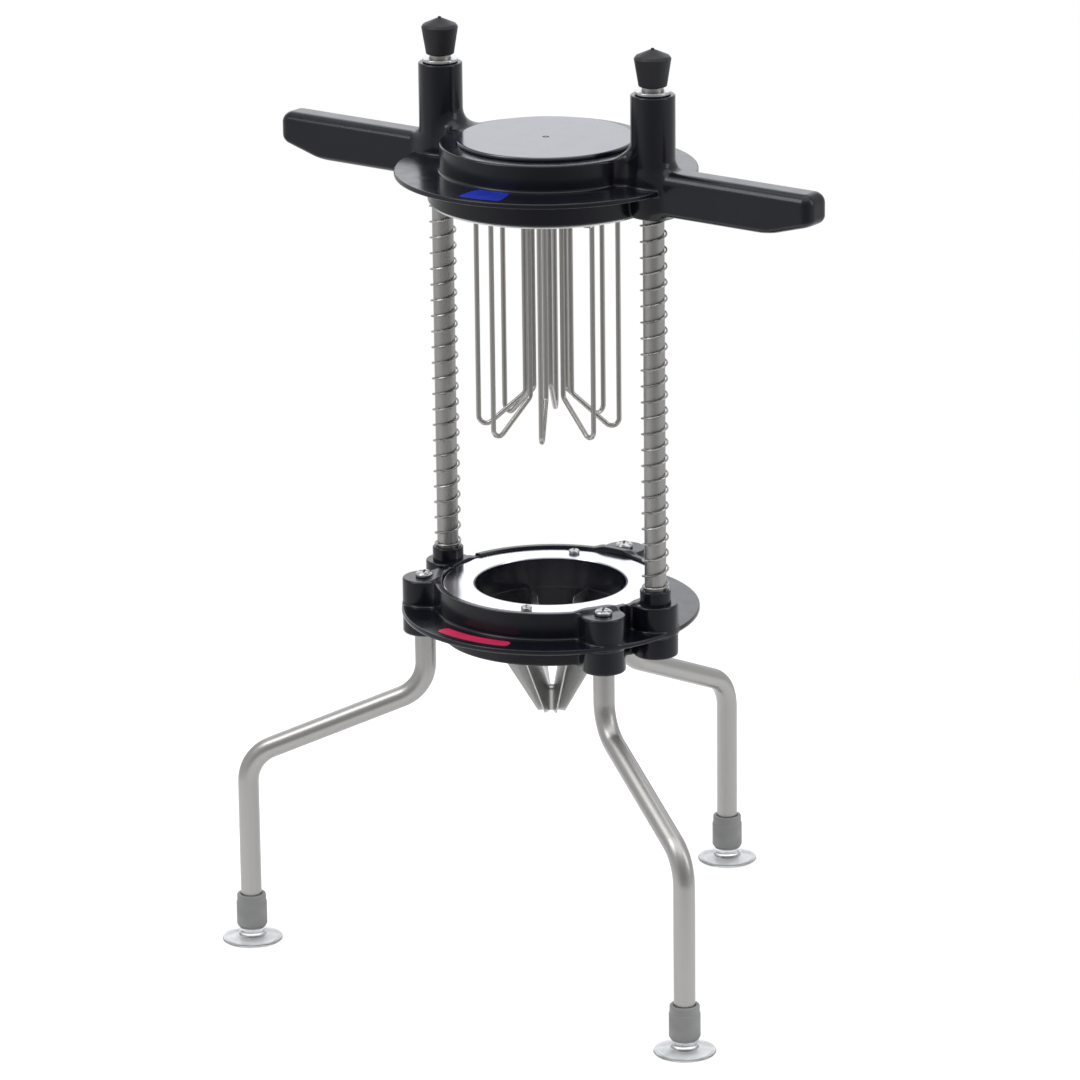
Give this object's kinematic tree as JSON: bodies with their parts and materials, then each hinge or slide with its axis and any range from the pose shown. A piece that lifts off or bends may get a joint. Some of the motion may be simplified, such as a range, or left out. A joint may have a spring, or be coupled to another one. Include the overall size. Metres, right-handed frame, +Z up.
{
  "type": "vegetable dicer",
  "caption": "Tripod vegetable wedger: a handled head slides down sprung posts and pushes produce through radial blades.",
  "frame": {"origin": "on the ground, under the centre of the wedger's bounding box", "axes": "+Z up along the ring axis and the posts, +X along the handles, -Y towards the labelled front; the ring axis is 47.4 mm in front of the origin"},
  "size_m": [0.39, 0.3216, 0.5795],
  "materials": {
    "black_plastic": "moulded black, semi-gloss, slightly blue where it reflects",
    "lid_plastic": "smooth glossy black",
    "knob_rubber": "matt black",
    "carrier_steel": "polished stainless sheet",
    "blade_steel": "ground blade steel",
    "fastener_steel": "bright stainless",
    "tube_steel": "satin stainless tube",
    "wire_steel": "satin stainless wire",
    "plate_steel": "bright rolled sheet",
    "spring_steel": "drawn spring wire",
    "ferrule_rubber": "grey moulded rubber",
    "clear_vinyl": "clear soft vinyl",
    "bush_plastic": "off-white bearing plastic",
    "red_label": "plain red gloss label",
    "blue_label": "plain blue gloss label"
  },
  "bodies": {
    "base": {"base_ring": "black_plastic", "base_label": "red_label", "blade_carrier": "carrier_steel", "carrier_screw_front": "fastener_steel", "carrier_screw_back": "fastener_steel", "blade_1": "blade_steel", "blade_2": "blade_steel", "blade_3": "blade_steel", "blade_4": "blade_steel", "blade_5": "blade_steel", "blade_6": "blade_steel", "blade_7": "blade_steel", "blade_8": "blade_steel", "blade_hub": "blade_steel", "leg_left": "tube_steel", "leg_right": "tube_steel", "leg_back": "tube_steel", "leg_screw_left": "fastener_steel", "leg_screw_right": "fastener_steel", "leg_screw_back": "fastener_steel", "ferrule_left": "ferrule_rubber", "ferrule_right": "ferrule_rubber", "ferrule_back": "ferrule_rubber", "suction_cup_left": "clear_vinyl", "suction_cup_right": "clear_vinyl", "suction_cup_back": "clear_vinyl", "post_left": "tube_steel", "post_right": "tube_steel", "post_collar_left": "black_plastic", "post_collar_right": "black_plastic", "post_bolt_left": "fastener_steel", "post_bolt_right": "fastener_steel", "return_spring_left": "spring_steel", "return_spring_right": "spring_steel", "stop_washer_left": "fastener_steel", "stop_washer_right": "fastener_steel", "post_stud_left": "fastener_steel", "post_stud_right": "fastener_steel"},
    "head": {"head_body": "black_plastic", "head_lid": "lid_plastic", "head_label": "blue_label", "bush_lower_left": "bush_plastic", "bush_lower_right": "bush_plastic", "bush_upper_left": "bush_plastic", "bush_upper_right": "bush_plastic", "pusher_plate": "plate_steel", "plate_screw_left": "fastener_steel", "plate_screw_right": "fastener_steel", "plate_screw_back": "fastener_steel", "pusher_loop_1": "wire_steel", "pusher_loop_2": "wire_steel", "pusher_loop_3": "wire_steel", "pusher_loop_4": "wire_steel", "pusher_loop_5": "wire_steel", "pusher_loop_6": "wire_steel", "pusher_loop_7": "wire_steel", "pusher_loop_8": "wire_steel"},
    "knob_left": {"knob_left": "knob_rubber"},
    "knob_right": {"knob_right": "knob_rubber"}
  },
  "joints": [
    {"name": "head_slide", "type": "slide", "parent": "base", "child": "head", "axis": [0, 0, -1], "range_m": [0, 0.195], "stiffness_N_per_m": 400, "springref_m": -0.05, "deforming": ["return_spring_left", "return_spring_right"]},
    {"name": "knob_left_turn", "type": "hinge", "parent": "base", "child": "knob_left", "pos_m": [-0.078, -0.04738, 0.5568], "axis": [0, 0, 1], "continuous": true},
    {"name": "knob_right_turn", "type": "hinge", "parent": "base", "child": "knob_right", "pos_m": [0.078, -0.04738, 0.5568], "axis": [0, 0, 1], "continuous": true}
  ]
}
